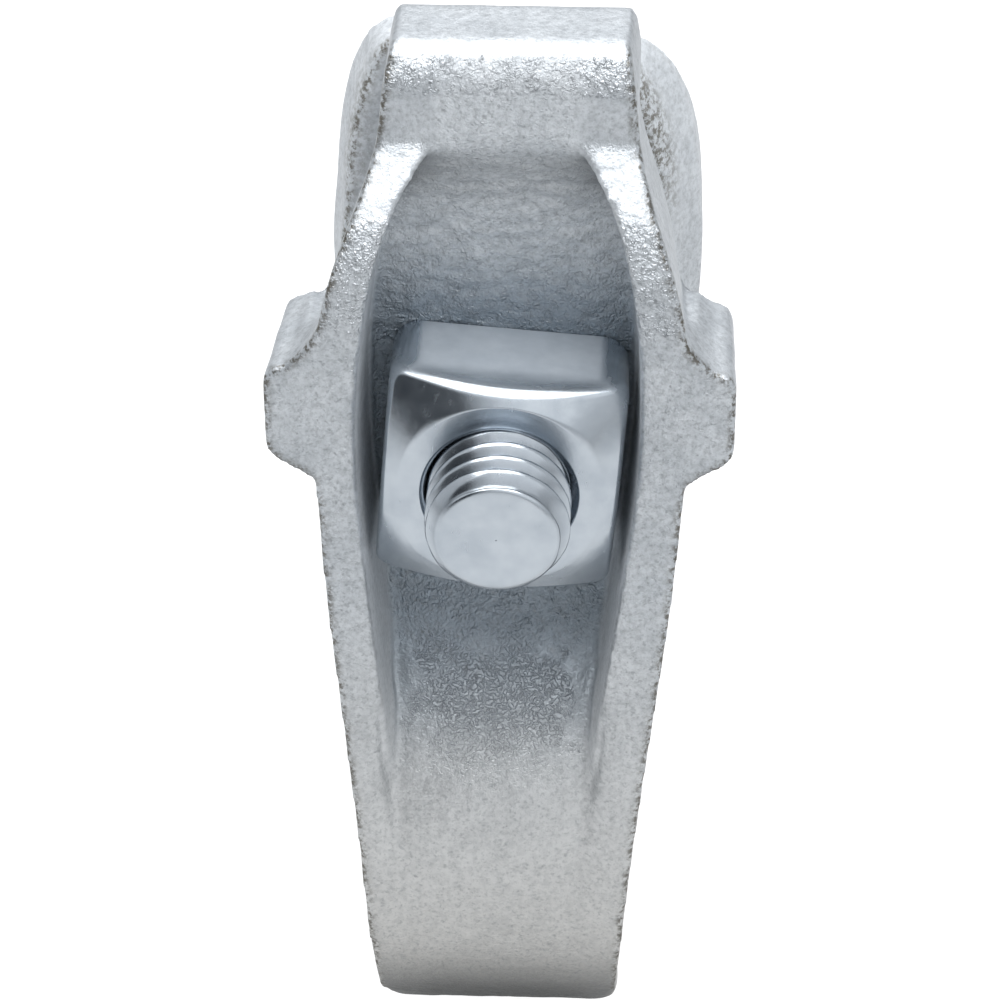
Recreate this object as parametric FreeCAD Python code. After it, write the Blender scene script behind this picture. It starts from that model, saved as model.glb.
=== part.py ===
"""Parallel conduit clamp: two zinc-plated malleable iron castings drawn together by one bolt.

The front jaw is a channel-section lever. Its tip presses on a beam flange, its tail on the conduit, and a
captive square nut lies in its channel. The rear hook is the fixed half: a wide pad behind the flange and an
arm that passes behind and under the conduit. The bolt is turned by its square head, behind the hook.

Millimetres. The origin is the middle of the conduit's axis. X runs along the conduit, +Z up to the flange,
and +Y from the nut's side to the bolt head's side.
"""

import FreeCAD, Part

import math
import os

# Conduit and clamp arms
conduit_radius = 16.7
arm_thickness = 5.8
head_room = 3.855

# Front jaw, heights from the bolt's axis and depths from the ribs' front plane
jaw_depth = 12.8
tip_top_height = 29.6
tip_set_back = 5.0
tip_edge_radius = 2.6
tip_back_radius = 0.9
tip_half_width = 7.4
tip_root_height = 23.5
tip_root_half_width = 8.6
rib_slope_height = 17.9
rib_bend_length = 3.4
neck_half_width = 10.45
shoulder_height = 13.3
shoulder_rib = 3.05
body_rib = 2.95
waist_height = -16.5
waist_rib = 2.7
tail_half_width = 9.95
tail_end_angle = 57.5
tail_nose = 1.4
side_draft = 1.1
tip_draft = -0.1
jaw_lean = 0.012
jaw_shift = 0.02
mould_shift = 0.3

# Ears of the front jaw
ear_half_width = 15.3
ear_depth = 9.6
ear_taper = 0.4
ear_top_height = 9.6
ear_bottom_height = 2.4
ear_root_height = -0.8
ear_corner_radius = 1.3
ear_root_radius = 4.6
ear_foot_drop = 0.28
ear_root_bow = 0.38
ear_root_lap = 0.4

# Channel of the front jaw
channel_top_height = 23.2
channel_top_half_width = 4.6
channel_neck_height = 20.9
channel_neck_half_width = 6.5
channel_shoulder_height = 14.0
channel_shoulder_step = 0.55
channel_low_height = -10.0
channel_low_step = 0.9
channel_end_height = -31.0
channel_end_half_width = 6.6
channel_run_out = 3.0
channel_draft = 0.3
channel_shift = -0.2
channel_lean = 0.022
ramp_middle_depth = 0.5
ramp_middle_fall = 0.45
ramp_foot_depth = 0.1
ramp_foot_fall = 0.8
ramp_rise = 0.2
ramp_end_slope = 0.06

# Relief between the two bearing ribs of the jaw's seat, angles from the front of the conduit
relief_depth = 2.0
relief_half_width = 6.0
relief_angle_above = 38.0
relief_angle_below = 45.0

# Bolt, 3/8 inch with sixteen threads to the inch
bolt_radius = 4.7625
bolt_end_radius = 3.9
bolt_end_chamfer = 0.9
bolt_stand_out = 5.2
head_width = 14.29
head_height = 6.35
head_crown_radius = 6.6
head_crown_height = 1.1

# Square nut, 3/8 inch
nut_width = 15.7
nut_height = 8.3
nut_turn = 4.7
nut_corner_radius = 0.8
nut_face_radius = 6.85
nut_chamfer_angle = 30.0
nut_countersink_radius = 5.75

# Rear hook
flange_gap = 5.0
hook_depth = 8.75
pad_top_height = 24.9
pad_top_depth = 3.6
pad_back_radius = 1.6
pad_slope_height = 11.5
pad_half_width = 10.95
pad_middle_height = 4.0
pad_roundness = 3.35
pad_flare = 1.8
pad_rim_depth = 4.0
pad_tilt = 0.068
pad_front_shift = -0.5
pad_rim_shift = 0.4
crown_start_angle = 15.0
crown_end_angle = 78.0
crown_steps = 7
crown_flat_share = 0.8
hook_waist_height = -12.0
hook_waist_half_width = 10.2
hook_arc_half_width = 8.2
hook_end_half_width = 7.2
hook_end_angle = 97.0
neck_radius = 1.0

# Fits
hole_clearance = 0.6
thread_clearance = 0.05
nut_side_clearance = 0.68
nut_end_clearance = 0.83

# Worked out from the sizes above
arm_radius = conduit_radius + arm_thickness
bolt_height = arm_radius + head_width / 2 + head_room
nut_reach = nut_width / 2 * (math.cos(math.radians(nut_turn)) + math.sin(math.radians(nut_turn)))
channel_half_width = nut_reach + nut_side_clearance
channel_shoulder_half_width = channel_half_width - channel_shoulder_step
channel_low_half_width = channel_half_width - channel_low_step
seat_half_height = nut_reach + nut_end_clearance
body_half_width = channel_half_width + body_rib
shoulder_half_width = channel_shoulder_half_width + shoulder_rib
waist_half_width = channel_low_half_width + waist_rib
rib_plane = -arm_radius
jaw_back = rib_plane + jaw_depth
hook_front = jaw_back + flange_gap
head_seat = hook_front + hook_depth
nut_front = rib_plane
seat_depth = nut_height
bolt_end = nut_front - bolt_stand_out
hole_radius = bolt_radius + hole_clearance
reach = 4 * arm_radius


def at(y, z, x=0.0):
    """A point at depth y and height z."""
    return FreeCAD.Vector(x, y, z)


def lever(depth, height):
    """A point of the jaw's side view, given behind the rib plane and above the bolt's axis."""
    return at(rib_plane + depth, bolt_height + height)


def on_arc(radius, degrees_below_front):
    """A point of the jaw's tail on a circle about the conduit's axis."""
    turn = math.radians(degrees_below_front)
    return at(-radius * math.cos(turn), -radius * math.sin(turn))


def circle_height(radius, y):
    """Height above the conduit's axis at which a circle about it reaches depth y."""
    return math.sqrt(radius * radius - y * y)


def segment(start, end):
    """A straight edge."""
    return Part.LineSegment(start, end).toShape()


def arc(start, middle, end):
    """An arc edge through three points."""
    return Part.Arc(start, middle, end).toShape()


def spline(points, start_tangent=None, end_tangent=None):
    """A smooth edge through the points."""
    curve = Part.BSplineCurve()
    if start_tangent is None:
        curve.interpolate(Points=points)
    else:
        curve.interpolate(Points=points, InitialTangent=start_tangent, FinalTangent=end_tangent)
    return curve.toShape()


def slab_across(edges):
    """A side view extruded to both sides of the middle plane."""
    face = Part.Face(Part.Wire(edges))
    face.translate(FreeCAD.Vector(-reach / 2, 0, 0))
    return face.extrude(FreeCAD.Vector(reach, 0, 0))


def side_points(y, stations, way, growth=0.0, shift=0.0, lean=0.0, tilt=0.0):
    """Points up one side of a front view at depth y, on the right for way 1 and on the left for way -1.

    They go through (height, half width) stations. The lean moves them right for each millimetre above the
    bolt's axis, and the tilt moves them down for each millimetre to the right.
    """
    points = []
    for z, half in stations:
        across = way * (half + growth) + shift
        points.append(FreeCAD.Vector(across + lean * (z - bolt_height), y, z - tilt * across))
    return points


def closed_outline(right, left):
    """A closed front view with smooth sides through points listed from the bottom up."""
    edges = [
        segment(left[0], right[0]),
        spline(right),
        segment(right[-1], left[-1]),
        spline(left),
    ]
    return Part.Wire(Part.__sortEdges__(edges))


def front_outline(y, stations, growth=0.0, shift=0.0, lean=0.0):
    """A closed front view at depth y, the same on both sides of its own middle line."""
    right = side_points(y, stations, 1, growth, shift, lean)
    left = side_points(y, stations, -1, growth, shift, lean)
    return closed_outline(right, left)


def loft(wires):
    """A solid with straight sides between closed outlines."""
    return Part.makeLoft(wires, True, True)


def cylinder_along_y(radius, start, end):
    """A cylinder on the bolt's axis from one depth to another."""
    return Part.makeCylinder(radius, end - start, at(start, bolt_height), FreeCAD.Vector(0, 1, 0))


def jaw_side_view():
    """The front jaw seen from the side: tip, sloped rib ends, upright body and curved tail."""
    quarter = math.sqrt(0.5)
    top_back = tip_back_radius
    edge_centre = (tip_set_back + tip_edge_radius, tip_top_height - tip_edge_radius)
    bend = lever(
        edge_centre[0] - tip_edge_radius * quarter,
        edge_centre[1] + tip_edge_radius * quarter,
    )
    back_bend = lever(
        jaw_depth - top_back * (1 - quarter),
        tip_top_height - top_back * (1 - quarter),
    )
    outer_end = on_arc(arm_radius, tail_end_angle)
    inner_end = on_arc(conduit_radius, tail_end_angle)
    nose = on_arc((arm_radius + conduit_radius) / 2, tail_end_angle)
    along = math.radians(tail_end_angle)
    nose = nose + at(tail_nose * math.sin(along), -tail_nose * math.cos(along))
    seat_top = at(jaw_back, circle_height(conduit_radius, jaw_back))
    seat_angle = math.degrees(math.atan2(seat_top.z, -seat_top.y))
    tail_start = at(rib_plane, 0)
    slope = math.atan2(tip_set_back, tip_root_height - rib_slope_height)
    bend_radius = rib_bend_length / math.tan(slope / 2)
    slope_end = lever(
        rib_bend_length * math.sin(slope),
        rib_slope_height + rib_bend_length * math.cos(slope),
    )
    slope_middle = lever(
        bend_radius * (1 - math.cos(slope / 2)),
        rib_slope_height - rib_bend_length + bend_radius * math.sin(slope / 2),
    )
    slope_start = lever(0, rib_slope_height - rib_bend_length)
    return [
        segment(lever(jaw_depth - top_back, tip_top_height), lever(edge_centre[0], tip_top_height)),
        arc(lever(edge_centre[0], tip_top_height), bend, lever(tip_set_back, edge_centre[1])),
        segment(lever(tip_set_back, edge_centre[1]), lever(tip_set_back, tip_root_height)),
        segment(lever(tip_set_back, tip_root_height), slope_end),
        arc(slope_end, slope_middle, slope_start),
        segment(slope_start, tail_start),
        arc(tail_start, on_arc(arm_radius, tail_end_angle / 2), outer_end),
        arc(outer_end, nose, inner_end),
        arc(inner_end, on_arc(conduit_radius, (tail_end_angle - seat_angle) / 2), seat_top),
        segment(seat_top, lever(jaw_depth, tip_top_height - top_back)),
        arc(
            lever(jaw_depth, tip_top_height - top_back),
            back_bend,
            lever(jaw_depth - top_back, tip_top_height),
        ),
    ]


def jaw_stations(draft, top_draft):
    """Half widths of the front jaw from its tail up to its tip, less the mould's draft at that depth."""
    tip_middle = (tip_root_height + tip_top_height) / 2
    return [
        (-arm_radius - tail_nose, tail_half_width - top_draft),
        (bolt_height + waist_height, waist_half_width - draft),
        (bolt_height, body_half_width - draft),
        (bolt_height + shoulder_height, shoulder_half_width - draft),
        (bolt_height + rib_slope_height, neck_half_width - draft),
        (bolt_height + tip_root_height, tip_root_half_width - draft / 2),
        (bolt_height + tip_middle, (tip_root_half_width + tip_half_width) / 2 - top_draft),
        (bolt_height + tip_top_height, tip_half_width - top_draft),
    ]


def jaw_body():
    """The jaw's outer form. Its sides draw in towards the back, as they leave the mould."""
    front = front_outline(rib_plane, jaw_stations(0.0, 0.0), shift=jaw_shift, lean=jaw_lean)
    behind = front_outline(
        rib_plane + 2 * jaw_depth,
        jaw_stations(2 * side_draft, 2 * tip_draft),
        shift=jaw_shift + 2 * mould_shift,
        lean=jaw_lean,
    )
    return loft([front, behind]).common(slab_across(jaw_side_view()))


def ear_outline(y, inset, draft, shift):
    """Both ears and the strip of body between them, seen from the front at depth y."""
    out = ear_half_width - inset
    top = bolt_height + ear_top_height - inset
    low = bolt_height + ear_bottom_height + inset
    root = bolt_height + ear_root_height + inset
    join = body_half_width - ear_root_radius / 2 - draft
    quarter = math.sqrt(0.5)
    r = ear_corner_radius
    fillet = ear_root_radius
    neck = shoulder_half_width - ear_root_lap - draft
    foot = low - ear_foot_drop
    half = [
        segment(FreeCAD.Vector(0, y, root), FreeCAD.Vector(join, y, root)),
        segment(FreeCAD.Vector(join, y, root), FreeCAD.Vector(out - r, y, foot)),
        arc(
            FreeCAD.Vector(out - r, y, foot),
            FreeCAD.Vector(out - r * (1 - quarter), y, low + r * (1 - quarter)),
            FreeCAD.Vector(out, y, low + r),
        ),
        segment(FreeCAD.Vector(out, y, low + r), FreeCAD.Vector(out, y, top - r)),
        arc(
            FreeCAD.Vector(out, y, top - r),
            FreeCAD.Vector(out - r * (1 - quarter), y, top - r * (1 - quarter)),
            FreeCAD.Vector(out - r, y, top),
        ),
        arc(
            FreeCAD.Vector(out - r, y, top),
            FreeCAD.Vector(neck + (out - r - neck) * ear_root_bow, y, top + fillet * ear_root_bow),
            FreeCAD.Vector(neck, y, top + fillet),
        ),
        segment(FreeCAD.Vector(neck, y, top + fillet), FreeCAD.Vector(0, y, top + fillet)),
    ]
    mirrored = [e.mirror(FreeCAD.Vector(0, 0, 0), FreeCAD.Vector(1, 0, 0)) for e in half]
    wire = Part.Wire(Part.__sortEdges__(half + mirrored))
    wire.translate(FreeCAD.Vector(shift, 0, 0))
    return wire


def jaw_ears():
    """The side ears. Their back half is a little out of line with the front, as the mould's halves were."""
    draft = side_draft * ear_depth / jaw_depth
    front = ear_outline(rib_plane, 0.0, 0.0, 0.0)
    behind = ear_outline(rib_plane + ear_depth, ear_taper, draft, mould_shift)
    return loft([front, behind])


def channel_side_view():
    """The space in front of the channel's floor: from the tip's face to the nut's seat and out again."""
    arc_height = channel_top_height - seat_half_height
    arc_depth = seat_depth - tip_set_back
    radius = (arc_height ** 2 + arc_depth ** 2) / (2 * arc_depth)
    half_turn = math.asin(arc_height / radius) / 2
    middle = lever(
        seat_depth - radius * (1 - math.cos(half_turn)),
        seat_half_height + radius * math.sin(half_turn),
    )
    top = lever(tip_set_back, channel_top_height)
    seat_top = lever(seat_depth, seat_half_height)
    seat_low = lever(seat_depth, -seat_half_height)
    run = -seat_half_height - channel_end_height
    below = channel_end_height - channel_run_out
    ramp = [
        seat_low,
        lever(seat_depth * ramp_middle_depth, -seat_half_height - run * ramp_middle_fall),
        lever(seat_depth * ramp_foot_depth, -seat_half_height - run * ramp_foot_fall),
        lever(-ramp_rise, below),
    ]
    outside = -jaw_depth
    return [
        arc(top, middle, seat_top),
        segment(seat_top, seat_low),
        spline(ramp, at(0, -1), at(-ramp_end_slope, -1)),
        segment(ramp[-1], lever(outside, below)),
        segment(lever(outside, below), lever(outside, channel_top_height)),
        segment(lever(outside, channel_top_height), top),
    ]


def channel():
    """The jaw's channel, a little narrower at its floor than at its mouth."""
    stations = [
        (bolt_height + channel_end_height - 2 * channel_run_out, channel_end_half_width),
        (bolt_height + channel_end_height, channel_end_half_width),
        (bolt_height + channel_low_height, channel_low_half_width),
        (bolt_height, channel_half_width),
        (bolt_height + channel_shoulder_height, channel_shoulder_half_width),
        (bolt_height + channel_neck_height, channel_neck_half_width),
        (bolt_height + channel_top_height, channel_top_half_width),
    ]
    floor = front_outline(rib_plane + seat_depth, stations, -channel_draft, channel_shift, channel_lean)
    beyond = front_outline(rib_plane - seat_depth, stations, channel_draft, channel_shift, channel_lean)
    return loft([beyond, floor]).common(slab_across(channel_side_view()))


def seat_relief():
    """The hollow in the middle of the jaw's seat, so that the conduit bears on a rib at each side."""
    radius = conduit_radius + relief_depth
    above = on_arc(radius, -relief_angle_above)
    below = on_arc(radius, relief_angle_below)
    middle = on_arc(radius, (relief_angle_below - relief_angle_above) / 2)
    axis = at(0, 0)
    face = Part.Face(Part.Wire([arc(above, middle, below), segment(below, axis), segment(axis, above)]))
    face.translate(FreeCAD.Vector(-relief_half_width, 0, 0))
    return face.extrude(FreeCAD.Vector(2 * relief_half_width, 0, 0))


def front_jaw():
    """The front jaw casting."""
    solid = jaw_body().fuse(jaw_ears()).removeSplitter()
    solid = solid.cut(channel()).cut(seat_relief())
    return solid.cut(cylinder_along_y(hole_radius, rib_plane - jaw_depth, jaw_back + jaw_depth))


def hook_side_view():
    """The rear hook seen from the side: upright pad and an arm round the conduit's back."""
    quarter = math.sqrt(0.5)
    top = bolt_height + pad_top_height
    slope_foot = bolt_height + pad_slope_height
    end = math.radians(hook_end_angle)
    middle_radius = (arm_radius + conduit_radius) / 2

    def behind(radius, turn):
        return at(radius * math.cos(turn), -radius * math.sin(turn))

    inner_start = at(hook_front, circle_height(conduit_radius, hook_front))
    inner_turn = -math.atan2(inner_start.z, inner_start.y)
    corner_y = head_seat + neck_radius
    corner_z = circle_height(arm_radius + neck_radius, corner_y)
    corner = at(corner_y, corner_z)
    scale = arm_radius / (arm_radius + neck_radius)
    outer_start = at(corner_y * scale, corner_z * scale)
    outer_turn = -math.atan2(outer_start.z, outer_start.y)
    neck_top = at(head_seat, corner_z)
    inward = (outer_start - corner) + (neck_top - corner)
    neck_middle = corner + inward.normalize() * neck_radius
    nose = behind(middle_radius, end) + at(-tail_nose * math.sin(end), -tail_nose * math.cos(end))
    rim = hook_front + pad_top_depth
    r = pad_back_radius
    return [
        segment(inner_start, at(hook_front, top)),
        segment(at(hook_front, top), at(rim - r, top)),
        arc(
            at(rim - r, top),
            at(rim - r * (1 - quarter), top - r * (1 - quarter)),
            at(rim, top - r),
        ),
        segment(at(rim, top - r), at(head_seat, slope_foot)),
        segment(at(head_seat, slope_foot), neck_top),
        arc(neck_top, neck_middle, outer_start),
        arc(outer_start, behind(arm_radius, (outer_turn + end) / 2), behind(arm_radius, end)),
        arc(behind(arm_radius, end), nose, behind(conduit_radius, end)),
        arc(behind(conduit_radius, end), behind(conduit_radius, (inner_turn + end) / 2), inner_start),
    ]


def pad_crown():
    """Heights and half widths round the pad's top corner, a rounded square's quarter."""
    rise = pad_top_height - pad_middle_height
    stations = []
    for step in range(crown_steps):
        share = step / (crown_steps - 1)
        turn = math.radians(crown_start_angle + (crown_end_angle - crown_start_angle) * share)
        up = math.sin(turn) ** (2 / pad_roundness)
        out = math.cos(turn) ** (2 / pad_roundness)
        stations.append((bolt_height + pad_middle_height + rise * up, pad_half_width * out))
    return stations


def hook_outline(y, growth, shift):
    """The rear hook seen from the front at depth y: a round-topped pad that tilts a little, and an arm."""
    arm = [
        (-arm_radius - tail_nose, hook_end_half_width),
        (0.0, hook_arc_half_width),
        (bolt_height + hook_waist_height, hook_waist_half_width + growth / 2),
    ]
    crown = pad_crown()
    pad = [(bolt_height + pad_middle_height, pad_half_width)] + crown
    pad.append((bolt_height + pad_top_height, crown[-1][1] * crown_flat_share))
    right = side_points(y, arm, 1) + side_points(y, pad, 1, growth, shift, tilt=pad_tilt)
    left = side_points(y, arm, -1) + side_points(y, pad, -1, growth, shift, tilt=pad_tilt)
    return closed_outline(right, left)


def rear_hook():
    """The rear hook casting, with its pad's sides flaring towards the back."""
    near = hook_outline(-arm_radius, 0.0, pad_front_shift)
    front = hook_outline(hook_front, 0.0, pad_front_shift)
    rim = hook_outline(hook_front + pad_rim_depth, pad_flare, pad_rim_shift)
    back = hook_outline(arm_radius + tail_nose, pad_flare, pad_rim_shift)
    block = loft([near, front]).fuse(loft([front, rim])).fuse(loft([rim, back]))
    solid = block.removeSplitter().common(slab_across(hook_side_view()))
    return solid.cut(cylinder_along_y(hole_radius, hook_front - hook_depth, head_seat + hook_depth))


def square_prism(width, start, end, turn, corner_radius):
    """A square bar on the bolt's axis, turned clockwise as seen from the front, with eased corners."""
    half = width / 2
    bar = Part.makeBox(width, end - start, width, FreeCAD.Vector(-half, start, -half))
    if corner_radius:
        sides = [e for e in bar.Edges if abs(e.tangentAt(e.FirstParameter).y) > 0.9]
        bar = bar.makeFillet(corner_radius, sides)
    bar.rotate(FreeCAD.Vector(0, 0, 0), FreeCAD.Vector(0, 1, 0), turn)
    bar.translate(FreeCAD.Vector(0, 0, bolt_height))
    return bar


def turned(points):
    """A solid of revolution about the bolt's axis through (depth, radius) points."""
    corners = [at(y, bolt_height + r) for y, r in points]
    face = Part.Face(Part.makePolygon(corners + corners[:1]))
    return face.revolve(at(0, bolt_height), FreeCAD.Vector(0, 1, 0), 360)


def square_nut():
    """The captive nut: square, chamfered round its outer face and countersunk."""
    back = nut_front + nut_height
    corner = nut_width
    rise = (corner - nut_face_radius) * math.tan(math.radians(nut_chamfer_angle))
    bore = bolt_radius + thread_clearance
    crown = turned([
        (back, bore),
        (back, corner),
        (nut_front + rise, corner),
        (nut_front, nut_face_radius),
        (nut_front, nut_countersink_radius),
        (nut_front + nut_countersink_radius - bore, bore),
    ])
    return square_prism(nut_width, nut_front, back, nut_turn, nut_corner_radius).common(crown)


def bolt():
    """The bolt, with a chamfered end and a square head."""
    head_end = head_seat + head_height
    shank = turned([
        (bolt_end, 0.0),
        (bolt_end, bolt_end_radius),
        (bolt_end + bolt_end_chamfer, bolt_radius),
        (head_seat, bolt_radius),
        (head_seat, 0.0),
    ])
    spread = head_width
    crown_slope = head_crown_height / (head_width / math.sqrt(2) - head_crown_radius)
    crown = turned([
        (head_seat, 0.0),
        (head_seat, spread),
        (head_end - crown_slope * (spread - head_crown_radius), spread),
        (head_end, head_crown_radius),
        (head_end, 0.0),
    ])
    head = square_prism(head_width, head_seat, head_end, 0.0, 0.0).common(crown)
    return shank.fuse(head).removeSplitter()


def main():
    """Builds each piece and writes it to its own file."""
    os.makedirs("parts", exist_ok=True)
    pieces = {
        "front_jaw": front_jaw(),
        "rear_hook": rear_hook(),
        "square_nut": square_nut(),
        "bolt": bolt(),
    }
    for name, shape in pieces.items():
        solids = shape.Solids
        print(name, len(solids), "solid, volume", round(shape.Volume, 1), "valid", shape.isValid())
        shape.exportStep(f"parts/{name}.step")


main()
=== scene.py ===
"""Looks of a parallel conduit clamp: two sand-cast, zinc-plated jaws with a bright zinc-plated bolt and nut.

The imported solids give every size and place. The castings are dressed with a fine mesh of the same form,
eased at its edges and roughened as a sand mould leaves it. The bolt and nut are turned again with real
threads. Metres, with the conduit's axis through the origin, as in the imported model.
"""

import logging
import math
from dataclasses import dataclass
from enum import Enum
from typing import Any

import bpy
import numpy as np
from mathutils import Matrix, Vector, noise

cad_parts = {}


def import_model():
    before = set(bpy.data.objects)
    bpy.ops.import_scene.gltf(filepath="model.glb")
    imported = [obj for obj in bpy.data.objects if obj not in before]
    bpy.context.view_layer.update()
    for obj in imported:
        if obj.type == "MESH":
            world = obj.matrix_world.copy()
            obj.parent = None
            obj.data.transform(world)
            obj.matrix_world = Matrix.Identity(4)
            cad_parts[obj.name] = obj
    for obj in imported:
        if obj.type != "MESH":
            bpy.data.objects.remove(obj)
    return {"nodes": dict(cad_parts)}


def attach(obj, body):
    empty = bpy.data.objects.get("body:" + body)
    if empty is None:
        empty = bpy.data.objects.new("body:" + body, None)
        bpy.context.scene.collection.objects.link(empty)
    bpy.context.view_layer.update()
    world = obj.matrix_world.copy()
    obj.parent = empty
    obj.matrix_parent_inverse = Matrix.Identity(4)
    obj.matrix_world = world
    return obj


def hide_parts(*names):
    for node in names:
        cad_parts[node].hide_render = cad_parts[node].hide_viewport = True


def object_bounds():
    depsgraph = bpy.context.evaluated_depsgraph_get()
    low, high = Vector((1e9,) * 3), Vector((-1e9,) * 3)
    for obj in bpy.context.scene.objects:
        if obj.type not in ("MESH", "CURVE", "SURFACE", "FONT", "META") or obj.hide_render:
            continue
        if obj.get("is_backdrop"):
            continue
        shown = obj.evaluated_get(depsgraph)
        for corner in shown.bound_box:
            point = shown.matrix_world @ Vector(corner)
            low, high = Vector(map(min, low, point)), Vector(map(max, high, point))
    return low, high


Array = np.ndarray
Socket = bpy.types.NodeSocket

LOG = logging.getLogger("conduit_clamp")
MM = 0.001
WHITE = (1.0, 1.0, 1.0, 1.0)

# The bolt's axis above the conduit's, in mm.
BOLT_HEIGHT = 33.5

# Inputs of a MapRange node, then inputs and output of a Mix node for colours.
VALUE, FROM_MIN, FROM_MAX, TO_MIN, TO_MAX = range(5)
SHARE, UNDER, OVER, MIXED = 0, 6, 7, 2


class Slot(Enum):
    """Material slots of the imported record."""

    CASTING = "casting"
    FASTENER = "fastener"


def linear(code: str) -> tuple[float, float, float, float]:
    """Turns an sRGB hex colour into linear RGBA.

    Args:
        code: Six hex digits with a leading hash.

    Returns:
        Linear red, green, blue and an alpha of one.
    """
    channels = [int(code[i:i + 2], 16) / 255 for i in (1, 3, 5)]
    lit = [c / 12.92 if c <= 0.04045 else ((c + 0.055) / 1.055) ** 2.4 for c in channels]
    return lit[0], lit[1], lit[2], 1.0


def smoothstep(low: float, high: float, values: Array) -> Array:
    """Ramps smoothly from 0 at low to 1 at high."""
    t = np.clip((values - low) / (high - low), 0.0, 1.0)
    return t * t * (3 - 2 * t)


@dataclass(frozen=True)
class Band:
    """A stretch of a measure where something holds, faded at its start and, where given, at its end."""

    start: float
    full: float
    fade: float | None = None
    end: float | None = None

    def share(self, values: Array) -> Array:
        """1 inside the band, 0 outside it, smooth between."""
        inside = smoothstep(self.start, self.full, values)
        return inside if self.fade is None else inside * smoothstep(self.end, self.fade, values)


class Graph:
    """A node tree that is put together one node at a time."""

    def __init__(self, tree: bpy.types.NodeTree) -> None:
        self.tree = tree
        tree.nodes.clear()

    def add(self, kind: str, sockets: dict | None = None, out: int | str = 0, **settings: Any) -> Socket | None:
        """Adds a node, sets its properties and fills its sockets.

        Args:
            kind: Blender's name of the node type, without its prefix.
            sockets: A value for each input, by its name or number, or an output socket to link to it.
            out: Name or number of the output that is wanted.
            **settings: Properties of the node itself.

        Returns:
            The wanted output, or None for a node that has none.
        """
        node = self.tree.nodes.new("ShaderNode" + kind)
        for key, value in settings.items():
            setattr(node, key, value)
        for key, value in (sockets or {}).items():
            if isinstance(value, Socket):
                self.tree.links.new(value, node.inputs[key])
            else:
                node.inputs[key].default_value = value
        return node.outputs[out] if node.outputs else None


def new_material(name: str) -> tuple[bpy.types.Material, Graph]:
    """An empty material and the graph that fills it."""
    material = bpy.data.materials.new(name)
    material.use_nodes = True
    return material, Graph(material.node_tree)


@dataclass(frozen=True)
class Pattern:
    """Noise with lumps of a real size, in mm. The stretch is along x, y and z."""

    size: float
    detail: float = 2.0
    rough: float = 0.5
    seed: float = 0.0
    stretch: tuple[float, float, float] = (1.0, 1.0, 1.0)

    def drawn(self, g: Graph) -> Socket:
        """The pattern's nodes, which give 0 to 1."""
        shift = (self.seed * MM, 0, -self.seed * MM)
        whole = g.add("TexCoord", out="Object")
        place = g.add("Mapping", {"Vector": whole, "Location": shift, "Scale": self.stretch})
        look = {"Scale": 1 / (self.size * MM), "Detail": self.detail, "Roughness": self.rough}
        return g.add("TexNoise", {"Vector": place, **look})


@dataclass(frozen=True)
class Finish:
    """What the finishes share: layers of colour and of relief, and values stored on a piece's skin."""

    def mask(self, g: Graph, name: str) -> Socket:
        """A value that the piece stores on its skin."""
        return g.add("Attribute", out="Fac", attribute_name=name)

    def layered(self, g: Graph, ground: str, layers: list[tuple]) -> tuple | Socket:
        """Lays colours over a ground, each by its share."""
        colour = linear(ground)
        for share, code in layers:
            sockets = {SHARE: share, UNDER: colour, OVER: linear(code)}
            colour = g.add("Mix", sockets, out=MIXED, data_type="RGBA")
        return colour

    def embossed(self, g: Graph, reliefs: list[tuple]) -> Socket:
        """Lays bumps over each other, each from its height and its depth in mm."""
        normal = {}
        for height, depth in reliefs:
            bump = g.add("Bump", {"Height": height, "Distance": depth * MM, "Strength": 1.0, **normal})
            normal = {"Normal": bump}
        return bump


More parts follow.
